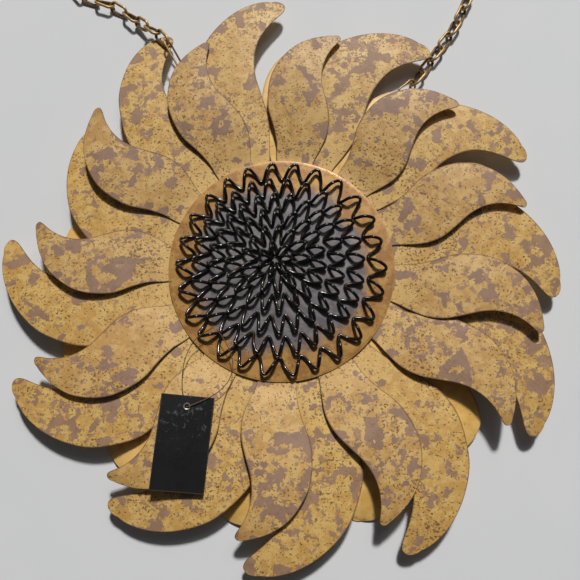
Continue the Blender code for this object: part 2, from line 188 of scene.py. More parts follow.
TAG_SIZE = (50 * MM, 88 * MM, 0.6 * MM)
TAG_HOLE = (-88 * MM, -136 * MM)
TAG_HOLE_RADIUS = 2.2 * MM
EYELET_RADIUS = 3.4 * MM
CARD_HOLE_RADIUS = EYELET_RADIUS - 0.6 * MM
CARD_BOW = 1.1 * MM
# The card is flat by its hole, and bowed in full this far from it.
BOW_START = 20 * MM
# How wide the painted highlight along the card's edge is.
EDGE_HIGHLIGHT_WIDTH = 2 * MM
TAG_TURN = -5.5
TAG_TILT = 8
TAG_Z = 30.2 * MM
TAG_HOLE_INSET = 10 * MM

STRING_RADIUS = 0.4 * MM
# The tag string's route in millimetres: from the wire, under the card, up through its eyelet and back.
STRING_ROUTE = [
    (-65, -61, 27.5), (-74, -66.5, 27.5), (-83, -73.5, 27.3), (-89.5, -84, 25.3), (-93, -96, 26),
    (-94.3, -109, 25.4), (-93.5, -121, 26.2), (-91.3, -129, 27.5), (-89.3, -134, 28.2), (-88.4, -136.4, 28.7),
    (-87.9, -137.4, 29.6), (-87.6, -137.6, 30.6), (-87.1, -136.9, 31.7), (-85.8, -135.9, 32.1),
    (-81, -133.8, 31.5), (-73, -130.5, 30), (-65, -126.5, 29), (-56.5, -120.5, 28.4), (-49.5, -112, 26.9),
    (-46, -102.5, 27.5), (-46, -93, 27.5), (-49.5, -82, 27.5), (-55.5, -71.5, 27.5), (-62, -62.6, 27.5),
]
STRING_STEP = 2.0 * MM
ROUTE_STEPS = 40

# The camera looks down on the flower's face, a little from below it and from its right.
CAMERA_TILT = math.radians(10.25)
CAMERA_TURN = math.radians(7.18)
CAMERA_DISTANCE = 608.9 * MM
LOOK_AT = Vector((8.49, -19.6, 0)) * MM
LENS = 36.93

chance = random.Random(12)


def here(point):
    """A point of the flower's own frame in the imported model's frame."""
    return Vector(point) + AXIS


# ---------------------------------------------------------------- shader arithmetic


class Value:
    """A socket of a paint. Arithmetic on it adds the nodes that work the value out."""

    def __init__(self, paint, socket):
        self.paint = paint
        self.socket = socket

    def math(self, operation, *others):
        inputs = dict(enumerate((self, *others)))
        return self.paint.node("Math", {"operation": operation}, inputs)

    def __add__(self, other):
        return self.math("ADD", other)

    __radd__ = __add__

    def __mul__(self, other):
        return self.math("MULTIPLY", other)

    __rmul__ = __mul__

    def __sub__(self, other):
        return self.math("SUBTRACT", other)

    def __rsub__(self, other):
        return self.paint.node("Math", {"operation": "SUBTRACT"}, {0: other, 1: self})

    def most(self, other):
        return self.math("MAXIMUM", other)

    def least(self, other):
        return self.math("MINIMUM", other)

    def step(self, low, high):
        """0 below low and 1 above high, with a smooth change between them."""
        settings = {"interpolation_type": "SMOOTHSTEP"}
        return self.paint.node("MapRange", settings, {"Value": self, "From Min": low, "From Max": high})


class Paint:
    """A Principled material that is built up from nodes."""

    def __init__(self, name, **constants):
        self.material = bpy.data.materials.new(name)
        self.material.use_nodes = True
        self.tree = self.material.node_tree
        self.shader = self.tree.nodes["Principled BSDF"]
        for socket, number in constants.items():
            self.shader.inputs[socket.replace("_", " ").title().replace("Ior", "IOR")].default_value = number

    def node(self, kind, settings=None, inputs=None, output=0):
        """Adds a node, with its settings first and then its inputs' values or links."""
        made = self.tree.nodes.new("ShaderNode" + kind)
        for setting, choice in (settings or {}).items():
            setattr(made, setting, choice)
        for socket, given in (inputs or {}).items():
            if isinstance(given, Value):
                self.tree.links.new(given.socket, made.inputs[socket])
            else:
                made.inputs[socket].default_value = given
        return Value(self, made.outputs[output])

    def place(self):
        """Where a point of the surface is, in metres."""
        return self.node("TexCoord", output="Object")

    def attribute(self, name):
        return self.node("Attribute", {"attribute_name": name}, output="Fac")

    def noise(self, where, scale, detail=4.0, roughness=0.6, distortion=0.0):
        numbers = {"Scale": scale, "Detail": detail, "Roughness": roughness, "Distortion": distortion}
        return self.node("TexNoise", None, {"Vector": where, **numbers})

    def moved(self, where, offset):
        return self.node("VectorMath", {"operation": "ADD"}, {0: where, 1: offset})

    def mix(self, share, one, other):
        """One colour turning to the other as share goes from 0 to 1."""
        made = self.tree.nodes.new("ShaderNodeMix")
        made.data_type = "RGBA"
        for socket, given in ((0, share), (6, one), (7, other)):
            if isinstance(given, Value):
                self.tree.links.new(given.socket, made.inputs[socket])
            else:
                made.inputs[socket].default_value = given if socket == 0 else (*given, 1)
        return Value(self, made.outputs[2])

    def bump(self, height, distance, strength=1.0):
        """Lets a height between 0 and 1, which stands for that distance, turn the surface."""
        inputs = {"Height": height, "Distance": distance, "Strength": strength}
        self.feed("Normal", self.node("Bump", None, inputs))

    def feed(self, socket, given):
        self.tree.links.new(given.socket, self.shader.inputs[socket])


def shade(red, green, blue):
    """A colour given as it looks on a screen, from 0 to 255, as the shader needs it."""
    colour = []
    for level in (red, green, blue):
        share = level / 255
        colour.append(share / 12.92 if level < 10.3 else ((share + 0.055) / 1.055) ** 2.4)
    return tuple(colour)


# ---------------------------------------------------------------- finishes


def sponged_paint(name, pale, tan, blotch, blotches, darkening):
    """Ochre paint, sponged with ragged mauve-brown blotches and spattered with fine dark specks."""
    paint = Paint(name, specular_ior_level=0.32)
    where = paint.place()
    along = paint.attribute("along")
    inside = paint.attribute("inside")
    own = paint.attribute("own")

    cloud = paint.noise(where, 26, 3, 0.5)
    mottle = paint.noise(where, 95, 6, 0.68)
    grain = paint.noise(where, 900, 3, 0.7)
    colour = paint.mix((mottle * 0.75 + cloud * 0.25).step(0.42, 0.58), tan, pale)
    colour = paint.mix((1 - along.step(0.02, 0.22)) * 0.55, colour, shade(222, 184, 118))

    # Blotches gather where the cloud is thick, and thin out towards the root.
    field = paint.noise(paint.moved(where, (0.31, 0.17, 0.05)), 58, 6, 0.57, 0.15)
    needed = 0.635 - blotches * 0.09 - own * 0.03 - (cloud - 0.5) * 0.28 + (1 - along.step(0.0, 0.5)) * 0.03
    patch = (field - needed).step(0.0, 0.018)
    small = paint.noise(paint.moved(where, (0.05, 0.4, 0.2)), 135, 5, 0.62)
    dab = (small - needed).step(0.03, 0.06)
    stain = patch.most(dab * 0.8)
    film = paint.mix(paint.noise(where, 60, 3).step(0.35, 0.65), blotch, tuple(c * 1.22 for c in blotch))
    colour = paint.mix(stain * 0.9, colour, film)

    # Two sizes of speck, thicker on some stretches than on others.
    spatter = paint.noise(paint.moved(where, (0.2, 0.1, 0.3)), 22, 2, 0.5)
    fine = paint.noise(where, 430, 2, 0.55)
    dots = (fine + (spatter - 0.5) * 0.22).step(0.59, 0.65)
    coarse = paint.noise(paint.moved(where, (0.5, 0.0, 0.1)), 215, 2, 0.5)
    spots = (coarse + (spatter - 0.5) * 0.25).step(0.685, 0.72)
    specks = dots.most(spots) * (1 - stain * 0.7)
    colour = paint.mix(specks * 0.78, colour, shade(92, 62, 42))
    colour = paint.mix(grain.step(0.5, 0.75) * 0.16, colour, shade(110, 82, 52))

    # The cut edge and the outer end are painted a little darker.
    rim = (1 - inside.step(0.05, 0.32)) * 0.75 + along.step(0.72, 1.0) * darkening
    colour = paint.mix(rim.least(0.85), colour, shade(96, 66, 38))
    paint.feed("Base Color", colour)
    paint.feed("Roughness", 0.47 + stain * 0.10 + (grain - 0.5) * 0.3)
    paint.bump(0.5 + stain * 0.25 - specks * 0.45 + grain * 0.12 + mottle * 0.1, 0.00035, 0.55)
    return paint.material


def plain_paint(name):
    """The back petals' ochre, with only a faint mottle and a few specks."""
    paint = Paint(name, specular_ior_level=0.3)
    where = paint.place()
    inside = paint.attribute("inside")
    mottle = paint.noise(where, 70, 5, 0.6)
    grain = paint.noise(where, 800, 3, 0.7)
    specks = paint.noise(where, 260, 2, 0.5).step(0.69, 0.73)
    colour = paint.mix(mottle.step(0.35, 0.65), shade(220, 174, 94), shade(238, 196, 118))
    colour = paint.mix(specks * 0.6, colour, shade(128, 88, 48))
    colour = paint.mix((1 - inside.step(0.0, 0.5)) * 0.5, colour, shade(110, 78, 40))
    paint.feed("Base Color", colour)
    paint.feed("Roughness", 0.45 + (grain - 0.5) * 0.3)
    paint.bump(mottle * 0.3 + grain * 0.3 - specks * 0.4, 0.0003, 0.5)
    return paint.material


def disc_lacquer(name):
    """Orange-brown lacquer at the rim, fogged to dark grey towards the middle, with a painted highlight at the
    edge.
    """
    paint = Paint(name)
    where = paint.place()
    out = paint.node("VectorMath", {"operation": "SUBTRACT"}, {0: where, 1: tuple(AXIS)})
    out = paint.node("VectorMath", {"operation": "MULTIPLY"}, {0: out, 1: (1.0, 1.0, 0.0)})
    radius = paint.node("VectorMath", {"operation": "LENGTH"}, {0: out}, output="Value")
    cloud = paint.noise(where, 24, 4, 0.55)
    grit = paint.noise(where, 420, 4, 0.75)
    mottle = paint.noise(where, 85, 5, 0.62)
    fog = 1 - (radius + (cloud - 0.5) * 0.05 + (grit - 0.5) * 0.018).step(0.079, 0.097)
    rim = paint.mix(mottle.step(0.4, 0.62), shade(156, 108, 52), shade(186, 141, 74))
    grey = paint.mix(mottle.step(0.38, 0.64), shade(96, 91, 95), shade(124, 118, 120))
    colour = paint.mix(fog, rim, grey)
    specks = paint.noise(where, 380, 2, 0.5).step(0.635, 0.69)
    colour = paint.mix(specks * 0.6, colour, shade(60, 44, 34))
    # A thin pale ring along the disc's edge is a painted highlight.
    edge = radius.step(0.1118, 0.1134)
    colour = paint.mix(edge * 0.25, colour, shade(226, 188, 122))
    paint.feed("Base Color", colour)
    paint.feed("Metallic", 0.15 + fog * 0.2)
    paint.feed("Roughness", 0.42 + fog * 0.08 + (grit - 0.5) * 0.25)
    paint.bump(grit * 0.5 + mottle * 0.3 - specks * 0.4, 0.0003, 0.5)
    return paint.material


def wire_lacquer(name):
    """Thick glossy black lacquer, brown in patches, most of all where the wire is low."""
    paint = Paint(name, coat_roughness=0.12)
    where = paint.place()
    brown_patches = paint.noise(where, 70, 4, 0.6).step(0.52, 0.68)
    low = 1 - paint.attribute("raised").step(0.1, 0.8)
    ripple = paint.noise(where, 320, 3, 0.6)
    colour = paint.mix(brown_patches * (0.3 + low * 0.6), shade(22, 20, 19), shade(78, 56, 36))
    paint.feed("Base Color", colour)
    paint.feed("Roughness", 0.24 + brown_patches * 0.14 + (ripple - 0.5) * 0.2)
    paint.feed("Metallic", 0.25 + brown_patches * 0.35)
    paint.feed("Coat Weight", 0.5 - brown_patches * 0.3)
    paint.bump(ripple, 0.0003, 0.35)
    return paint.material


def antique_brass(name):
    """Brass that is dark in its recesses, from patina and from painted shade, and bright with wear on its outer
    side.
    """
    paint = Paint(name)
    where = paint.place()
    facing_out = paint.attribute("facing_out")
    patina = paint.noise(where, 130, 5, 0.65)
    scratch = paint.noise(where, 900, 3, 0.7)
    # The inner side of each link is painted darker, as painted shade where the links lie in one another, and
    # the outer side paler, as wear.
    bright = (facing_out * 0.62 + patina * 0.6).step(0.42, 0.82)
    colour = paint.mix(bright, shade(92, 70, 42), shade(190, 156, 104))
    colour = paint.mix(patina.step(0.62, 0.74) * 0.6, colour, shade(58, 40, 26))
    paint.feed("Base Color", colour)
    paint.feed("Metallic", 0.3 + bright * 0.25)
    paint.feed("Roughness", 0.56 - bright * 0.12 + (scratch - 0.5) * 0.3)
    paint.bump(patina * 0.6 + scratch * 0.3, 0.0004, 0.5)
    return paint.material


def black_card(name):
    """Smooth black card with pale scuffs by its hole, and a painted highlight along its edges."""
    paint = Paint(name)
    where = paint.place()
    near_hole = 1 - paint.attribute("from_hole").step(0.1, 0.5)
    smear = paint.noise(where, 150, 6, 0.75, 0.8)
    dust = paint.noise(where, 700, 3, 0.7)
    sheen = paint.noise(where, 40, 3, 0.5)
    colour = paint.mix(sheen.step(0.3, 0.7), shade(7, 7, 8), shade(19, 19, 21))
    scuffs = smear.step(0.56, 0.76) * (0.02 + near_hole * 0.5) + dust.step(0.66, 0.74) * 0.06
    colour = paint.mix(scuffs, colour, shade(170, 172, 178))
    # The card's edges are painted paler, as a painted highlight.
    colour = paint.mix((1 - paint.attribute("inside").step(0.0, 0.6)) * 0.25, colour, shade(120, 112, 104))
    paint.feed("Base Color", colour)
    paint.feed("Roughness", 0.42 + scuffs * 0.4 + (dust - 0.5) * 0.15)
    paint.bump(dust * 0.4 + smear * 0.3, 0.0002, 0.4)
    return paint.material


def dull_metal(name):
    """The eyelet's pale plated metal."""
    paint = Paint(name)
    where = paint.place()
    tarnish = paint.noise(where, 500, 5, 0.65)
    colour = paint.mix(tarnish.step(0.4, 0.7), shade(205, 202, 194), shade(140, 134, 122))
    paint.feed("Base Color", colour)
    paint.feed("Metallic", 0.9 - tarnish * 0.2)
    paint.feed("Roughness", 0.22 + tarnish * 0.3)
    paint.bump(tarnish, 0.0001, 0.4)
    return paint.material


def thread_fibre(name):
    """Brown thread, twisted from fine fibres."""
    paint = Paint(name)
    where = paint.place()
    ply = paint.noise(where, 1400, 2, 0.5)
    dye = paint.noise(where, 40, 3, 0.6)
    colour = paint.mix(dye.step(0.35, 0.65), shade(70, 48, 34), shade(120, 90, 62))
    colour = paint.mix(ply.step(0.45, 0.6) * 0.5, colour, shade(60, 42, 30))
    paint.feed("Base Color", colour)
    paint.feed("Roughness", 0.75 + (ply - 0.5) * 0.3)
    paint.bump(ply, 0.0002, 0.6)
    return paint.material


def plain_floor(name):
    """The pale studio floor."""
    paint = Paint(name, roughness=0.85)
    grain = paint.noise(paint.place(), 14, 3, 0.5)
    paint.feed("Base Color", paint.mix(grain, shade(214, 216, 219), shade(220, 221, 223)))
    return paint.material


# ---------------------------------------------------------------- shapes


def smooth_line(points, steps, closed=False):
    """Points along a smooth curve through the given ones, with that many steps between two of them."""
    knots = [Vector(p) for p in points]
    if closed:
        knots = [knots[-1], *knots, knots[0], knots[1]]
    else:
        knots = [2 * knots[0] - knots[1], *knots, 2 * knots[-1] - knots[-2]]
    line = []
    for a, b, c, d in zip(knots, knots[1:], knots[2:], knots[3:]):
        for k in range(steps):
            t = k / steps
            bend = (2 * a - 5 * b + 4 * c - d) * t**2 + (3 * b - a - 3 * c + d) * t**3
            line.append(0.5 * (2 * b + (c - a) * t + bend))
    if not closed:
        line.append(knots[-2])
    return line


def measured(points):
    """A smooth route through points in millimetres, and how far along it each of its points is."""
    line = smooth_line([Vector(p) * MM for p in points], ROUTE_STEPS)
    lengths = [0]
    for a, b in zip(line, line[1:]):
        lengths.append(lengths[-1] + (b - a).length)
    return line, lengths


def point_along(route, distance):
    """The point of a route at a distance from its start."""
    line, lengths = route
    at = min(max(bisect.bisect_right(lengths, distance) - 1, 0), len(line) - 2)
    return line[at].lerp(line[at + 1], (distance - lengths[at]) / (lengths[at + 1] - lengths[at]))


def new_piece(name, mesh, material, sharp=35):
    """An object that rides on the body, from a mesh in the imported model's frame."""
    mesh.materials.append(material)
    mesh.shade_smooth()
    mesh.set_sharp_from_angle(angle=math.radians(sharp))
    piece = bpy.data.objects.new(name, mesh)
    bpy.context.scene.collection.objects.link(piece)
    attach(piece, "root")
    return piece


def mesh_from(name, points, faces, marks=None):
    """A mesh with its faces turned outwards, flat where it rests on the surface below, and a number at each
    point for each of the marks."""
    mesh = bpy.data.meshes.new(name)
    mesh.from_pydata([(p[0], p[1], max(p[2], 0)) for p in points], [], faces)
    for mark, numbers in (marks or {}).items():
        mesh.attributes.new(mark, "FLOAT", "POINT").data.foreach_set("value", numbers)
    shape = bmesh.new()
    shape.from_mesh(mesh)
    bmesh.ops.recalc_face_normals(shape, faces=shape.faces)
    shape.to_mesh(mesh)
    shape.free()
    return mesh


def swept_wire(path, radius, sides):
    """Points and faces of a round wire along a closed path, with how much each point faces away from the
    path's middle."""
    count = len(path)
    middle = sum(path, Vector()) / count
    tangents = [(path[(k + 1) % count] - path[k - 1]).normalized() for k in range(count)]
    normal = tangents[0].orthogonal().normalized()
    frames = []
    for tangent in tangents:
        normal = (normal - tangent * normal.dot(tangent)).normalized()
        frames.append((normal.copy(), tangent.cross(normal)))
    closing = (normal - tangents[0] * normal.dot(tangents[0])).normalized()
    slip = math.atan2(closing.dot(frames[0][1]), closing.dot(frames[0][0]))
    points, faces, outward = [], [], []
    for k, (normal, side) in enumerate(frames):
        away = (path[k] - middle).normalized()
        for s in range(sides):
            turn = 2 * math.pi * s / sides - slip * k / count
            spoke = math.cos(turn) * normal + math.sin(turn) * side
            points.append(path[k] + radius * spoke)
            outward.append(0.5 + 0.5 * spoke.dot(away))
    for k in range(count):
        for s in range(sides):
            a, b = k * sides, (k + 1) % count * sides
            t = (s + 1) % sides
            faces.append((a + s, b + s, b + t, a + t))
    return points, faces, outward


def turned_shape(profile, segments, closed=False):
    """Points and faces of a shape turned about Z, from (radius, z) pairs, which start and end on the axis or
    go round a closed line."""
    points, faces, rings = [], [], []
    for radius, z in profile:
        count = 1 if radius == 0 else segments
        rings.append(range(len(points), len(points) + count))
        for k in range(count):
            turn = 2 * math.pi * k / segments
            points.append(Vector((radius * math.cos(turn), radius * math.sin(turn), z)))
    pairs = list(zip(rings, rings[1:]))
    if closed:
        pairs.append((rings[-1], rings[0]))
    for low, high in pairs:
        for k in range(segments):
            after = (k + 1) % segments
            corners = [low[k % len(low)], low[after % len(low)], high[after % len(high)], high[k % len(high)]]
            faces.append(tuple(dict.fromkeys(corners)))
    return points, faces


# ---------------------------------------------------------------- petals


def petal_lines(edges, petal):
    """One petal's two edges as smooth lines in millimetres, from the end of its root to its tip."""
    _, reach, left_extra, right_extra, _, _ = petal
    last = len(edges[0]) - 1
    lines = []
    for edge, extra, way in ((edges[0], left_extra, 1), (edges[1], right_extra, -1)):
        knots = []
        for step, (x, y) in enumerate(edge):
            share = max(0, step - 1) / (last - 1)
            further = reach * math.sin(math.pi / 2 * share)
            knots.append(Vector((x + further, y + way * extra * math.sin(math.pi * share), 0)))
        lines.append(smooth_line(knots, EDGE_STEPS))
    return lines


def petal_stations(lines, cut):
    """The ends of the rows across a petal, the last ones round its tip. Each has its part of the way along
    the edges, which are cut short by the cut."""
    count = len(lines[0]) - 1
    stations = []
    for row in range(PETAL_ROWS + 1):
        part = (1 - cut) * row / PETAL_ROWS
        at = part * count
        k = min(int(at), count - 1)
        left, right = (line[k].lerp(line[k + 1], at - k) for line in lines)
        stations.append((part, left, right))
    _, left_before, right_before = stations[-5]
    centre, centre_before = (left + right) / 2, (left_before + right_before) / 2
    across = left - right
    half = across.length / 2

    # The tip carries on the way the petal runs there, with half of its sideways lean taken out.
    forward = (centre - centre_before).normalized()
    forward = (forward - across * forward.dot(across) / across.length_squared * 0.5).normalized()
    narrowing = (left_before - right_before).length / 2 - half
    lean = math.atan2(max(0, narrowing), (centre - centre_before).length)
    radius = half / math.cos(lean)
    for row in range(1, TIP_ROWS + 1):
        curl = lean + (math.pi / 2 - lean) * row / (TIP_ROWS + 0.25)
        middle = centre + forward * radius * (math.sin(curl) - math.sin(lean))
        spread = across / (2 * half) * radius * math.cos(curl)
        stations.append((part + cut * row / TIP_ROWS, middle + spread, middle - spread))
    return stations


def petal_surface(edges, petal, hub_z, layer_arch, cut):
    """Rows of points over one petal's middle surface, from the end of its root to its rounded tip, with each
    row's share of the petal's length."""
    angle, _, _, _, extra_rise, lift = petal
    rise, top, fall = layer_arch
    turn = Matrix.Rotation(math.radians(angle), 3, "Z")
    last = len(edges[0]) - 1
    wave = chance.uniform(0, 6.28)
    rows, shares = [], []
    for part, left, right in petal_stations(petal_lines(edges, petal), cut):
        share = max(0, part * last - 1) / (last - 1)
        up = math.sin(math.pi / 2 * min(share / top, 1))
        down = max(0, share - top) / (1 - top)
        middle_z = hub_z + (rise + extra_rise * MM) * up - fall * down**1.6 + lift * MM * share**2
        bulge = CROWN * math.sin(math.pi * min(1, share * 1.1))
        ripple = RIPPLE * math.sin(math.pi * min(1, share * 2))
        row = []
        for column in range(PETAL_COLUMNS + 1):
            across = column / PETAL_COLUMNS
            flat = turn @ (left.lerp(right, across) * MM)
            wavy = ripple * math.sin(wave + 9 * share + 3 * across)
            row.append(Vector((flat.x, flat.y, middle_z + bulge * (1 - (2 * across - 1) ** 2) + wavy)))
        rows.append(row)
        shares.append(share)
    return rows, shares


def petal_mesh(name, rows, shares, own):
    """A sheet of metal around the rows of points, marked with how far inside its edge and how far along the
    petal each point is."""
    high, wide = len(rows), len(rows[0])
    grid = np.array([[tuple(p) for p in row] for row in rows])
    along = np.gradient(grid, axis=0)
    across = np.gradient(grid, axis=1)
    normals = np.cross(across, along)
    normals /= np.linalg.norm(normals, axis=2)[:, :, None] + 1e-12
    if normals[high // 2, wide // 2, 2] < 0:
        normals = -normals
    upper, lower = grid + normals * SHEET / 2, grid - normals * SHEET / 2
    points = [here(p) for p in (*upper.reshape(-1, 3), *lower.reshape(-1, 3))]
    edge_shares, long_shares = [], []
    for _ in (upper, lower):
        for r in range(high):
            width = np.linalg.norm(grid[r, 0] - grid[r, -1])
            for c in range(wide):
                from_side = min(c, wide - 1 - c) / (wide - 1) * width
                from_tip = (high - 1 - r) * TIP_ROW_LENGTH
                edge_shares.append(min(1, min(from_side, from_tip) / RIM_WIDTH))
                long_shares.append(shares[r])
    below = high * wide
    faces = []
    for r in range(high - 1):
        for c in range(wide - 1):
            k = r * wide + c
            faces.append((k, k + 1, k + wide + 1, k + wide))
            k += below
            faces.append((k, k + wide, k + wide + 1, k + 1))
    outline = list(range(wide))
    outline += [r * wide + wide - 1 for r in range(1, high)]
    outline += [(high - 1) * wide + c for c in range(wide - 2, -1, -1)]
    outline += [r * wide for r in range(high - 2, 0, -1)]
    for a, b in zip(outline, outline[1:] + outline[:1]):
        faces.append((a, b, b + below, a + below))
    marks = {"inside": edge_shares, "along": long_shares, "own": [own] * len(points)}
    return mesh_from(name, points, faces, marks)


def drill(piece, centre):
    """Cuts a hanging hole through a petal."""
    shape = bmesh.new()
    place = Matrix.Translation(here((centre.x, centre.y, centre.z)))
    bmesh.ops.create_cone(
        shape, cap_ends=True, segments=40, radius1=HANGING_HOLE_RADIUS, radius2=HANGING_HOLE_RADIUS,
        depth=40 * MM, matrix=place,
    )
    mesh = bpy.data.meshes.new("drill")
    shape.to_mesh(mesh)
    shape.free()
    cutter = bpy.data.objects.new("drill", mesh)
    bpy.context.scene.collection.objects.link(cutter)
    cut = piece.modifiers.new("hole", "BOOLEAN")
    cut.object = cutter
    bpy.context.view_layer.update()
    graph = bpy.context.evaluated_depsgraph_get()
    piece.data = bpy.data.meshes.new_from_object(piece.evaluated_get(graph))
    piece.modifiers.clear()
    bpy.data.objects.remove(cutter)


def make_petals():
    """The three layers of petals."""
    front = sponged_paint(
        "front_paint", shade(214, 176, 112), shade(193, 150, 88), shade(140, 111, 97),
        blotches=0.8, darkening=0.3,
    )
    middle = sponged_paint(
        "middle_paint", shade(218, 181, 110), shade(199, 155, 86), shade(145, 114, 96),
        blotches=0.85, darkening=0.1,
    )
    plain = plain_paint("back_paint")
    layers = (
        ("back", BACK_EDGES, BACK_PETALS, BACK_HUB_Z, BACK_ARCH, plain, "back_petal_paint"),
        ("middle", MIDDLE_EDGES, MIDDLE_PETALS, MIDDLE_HUB_Z, MIDDLE_ARCH, middle, "petal_paint"),
        ("front", FRONT_EDGES, FRONT_PETALS, FRONT_HUB_Z, FRONT_ARCH, front, "petal_paint"),
    )
    for layer, edges, petals, hub_z, arch, material, slot in layers:
        for number, petal in enumerate(petals, start=1):
            node = f"{layer}_petal_{number:02d}"
            rows, shares = petal_surface(edges, petal, hub_z, arch, TIP_CUT[layer])
            mesh = petal_mesh("fine_" + node, rows, shares, chance.random())
            piece = new_piece("fine_" + node, mesh, material)
            if node in DRILLED:
                drill(piece, DRILLED[node])
            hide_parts(node)


# ---------------------------------------------------------------- disc and wire


def make_disc():
    """The flat seed disc, with a rounded edge."""
    bevel = 0.45 * MM
    profile = [(0, DISC_BOTTOM), (DISC_RADIUS - bevel, DISC_BOTTOM)]
    for k in range(7):
        turn = math.pi * (k / 6 - 0.5)
        radius = DISC_RADIUS - bevel + bevel * math.cos(turn)
        profile.append((radius, DISC_BOTTOM + DISC_THICK / 2 * (1 + math.sin(turn))))
    profile += [(DISC_RADIUS * share, DISC_TOP) for share in (0.97, 0.93, 0.85, 0.7, 0.5, 0.25, 0)]
    points, faces = turned_shape(profile, 160)
    mesh = mesh_from("fine_seed_disc", [here(p) for p in points], faces)
    piece = new_piece("fine_seed_disc", mesh, disc_lacquer("disc_lacquer"))
    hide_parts("seed_disc")


def make_wire_rings():
    """The six rings of bent wire, which stand for the seeds."""
    lacquer = wire_lacquer("wire_lacquer")
    low = DISC_TOP + TOUCH_GAP + WIRE
    for number, (teeth, tip_radius, first_turn, middle_x, middle_y) in enumerate(WIRE_RINGS, start=1):
        valley_radius = max(tip_radius * MM - WIRE_TOOTH, LEAST_VALLEY_RADIUS)
        knots = []
        for k in range(teeth):
            lean, stretch = chance.uniform(-0.07, 0.07), chance.uniform(-1.0, 0.6) * MM
            for offset, out, height in WIRE_BENDS:
                turn = math.radians(first_turn) + 2 * math.pi * (k + offset + lean * out) / teeth
                radius = valley_radius + (tip_radius * MM + stretch - valley_radius) * out
                knots.append((
                    middle_x * MM + radius * math.cos(turn) * WIRE_STRETCH[0],
                    middle_y * MM + radius * math.sin(turn) * WIRE_STRETCH[1],
                    low + height * MM,
                ))
        path = smooth_line(knots, BEND_STEPS, closed=True)
        path = [Vector((p.x, p.y, max(p.z, low))) for p in path]
        points, faces, _ = swept_wire(path, DRAWN_WIRE, 12)
        raised = [(p.z - low) / WIRE_RAISED for p in points]
        name = f"fine_wire_ring_{number}"
        mesh = mesh_from(name, [here(p) for p in points], faces, {"raised": raised})
        piece = new_piece(name, mesh, lacquer, sharp=80)
        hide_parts(f"wire_ring_{number}")


# ---------------------------------------------------------------- chain


def oval_line(length, width, wire, arc_points, twist=0.0):
    """The middle line of a link along X, twisted about X by that angle from end to end."""
    radius = width / 2 - wire
    half = length / 2 - wire - radius
    line = []
    for sign in (1, -1):
        for k in range(arc_points):
            turn = -math.pi / 2 + math.pi * k / (arc_points - 1)
            line.append((sign * (half + radius * math.cos(turn)), sign * radius * math.sin(turn)))
        for k in (1, 2, 3):
            line.append((sign * half * (1 - k / 2), sign * radius * 0.96))
    bent = []
    for x, y in line:
        roll = twist * x / length
        bent.append(Vector((x, y * math.cos(roll), y * math.sin(roll))))
    return bent


def link_place(start, end, roll):
    """The place of a link whose middle is between two points, rolled about the line that joins them."""
    along = (end - start).normalized()
    side = Vector((0, 0, 1)).cross(along).normalized()
    up = along.cross(side)
    turned = side * math.cos(roll) + up * math.sin(roll)
    third = along.cross(turned)
    return Matrix.Translation((start + end) / 2) @ Matrix((along, turned, third)).transposed().to_4x4()


def add_link(name, path, wire, place, material):
    """One closed link or ring of the chain, put in its place."""
    points, faces, outward = swept_wire(path, wire, 12)
    # Each point is marked with how far it faces out, which the brass turns into wear outside and painted shade
    # inside.
    mesh = mesh_from(name, [here(place @ p) for p in points], faces, {"facing_out": outward})
    return new_piece(name, mesh, material, sharp=80)


def make_chain():
    """The chain's links, each its own piece, and the ring at either end."""
    brass = antique_brass("antique_brass")
    route = measured(CHAIN_ROUTE)
    length = route[1][-1]
    count = RUNS * RUN_LINKS
    pitch = length / count
    path = oval_line(LINK_LENGTH, LINK_WIDTH, LINK_WIRE, 11, LINK_TWIST)
    for k in range(count):
        start, end = point_along(route, k * pitch), point_along(route, (k + 1) * pitch)
        roll = (1 if k % 2 else -1) * math.radians(45 - chance.uniform(0, 9))
        link = add_link(f"chain_link_{k + 1:02d}", path, LINK_WIRE, link_place(start, end, roll), brass)
        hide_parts(f"chain_run_{k // RUN_LINKS + 1:02d}")
    for name, hole, joint, turn in (
        ("left_hanging_ring", LEFT_HOLE, point_along(route, 0), math.pi / 3),
        ("right_hanging_ring", RIGHT_HOLE, point_along(route, length), math.pi / 4),
    ):
        outer = joint + (joint - hole).normalized() * RING_OVERHANG
        path = oval_line((outer - hole).length + 2 * RING_WIRE, RING_WIDTH, RING_WIRE, 15)
        ring = add_link("fine_" + name, path, RING_WIRE, link_place(hole, outer, turn), brass)
        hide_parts(name)


# ---------------------------------------------------------------- tag


def tag_place():
    """Where the tag lies, from its hole's middle."""
    turn = Matrix.Rotation(math.radians(TAG_TURN), 4, "Z") @ Matrix.Rotation(math.radians(TAG_TILT), 4, "Y")
    return Matrix.Translation(here((TAG_HOLE[0], TAG_HOLE[1], TAG_Z))) @ turn


def card_turns(spokes):
    """The turns of the spokes around the card's hole, with one spoke through each of the card's corners."""
    width, length, _ = TAG_SIZE
    turns = [2 * math.pi * k / spokes for k in range(spokes)]
    for x, y in itertools.product((-width / 2, width / 2), (TAG_HOLE_INSET, TAG_HOLE_INSET - length)):
        corner = math.atan2(y, x) % (2 * math.pi)
        nearest = min(range(spokes), key=lambda k: abs(turns[k] - corner))
        turns[nearest] = corner
    return turns


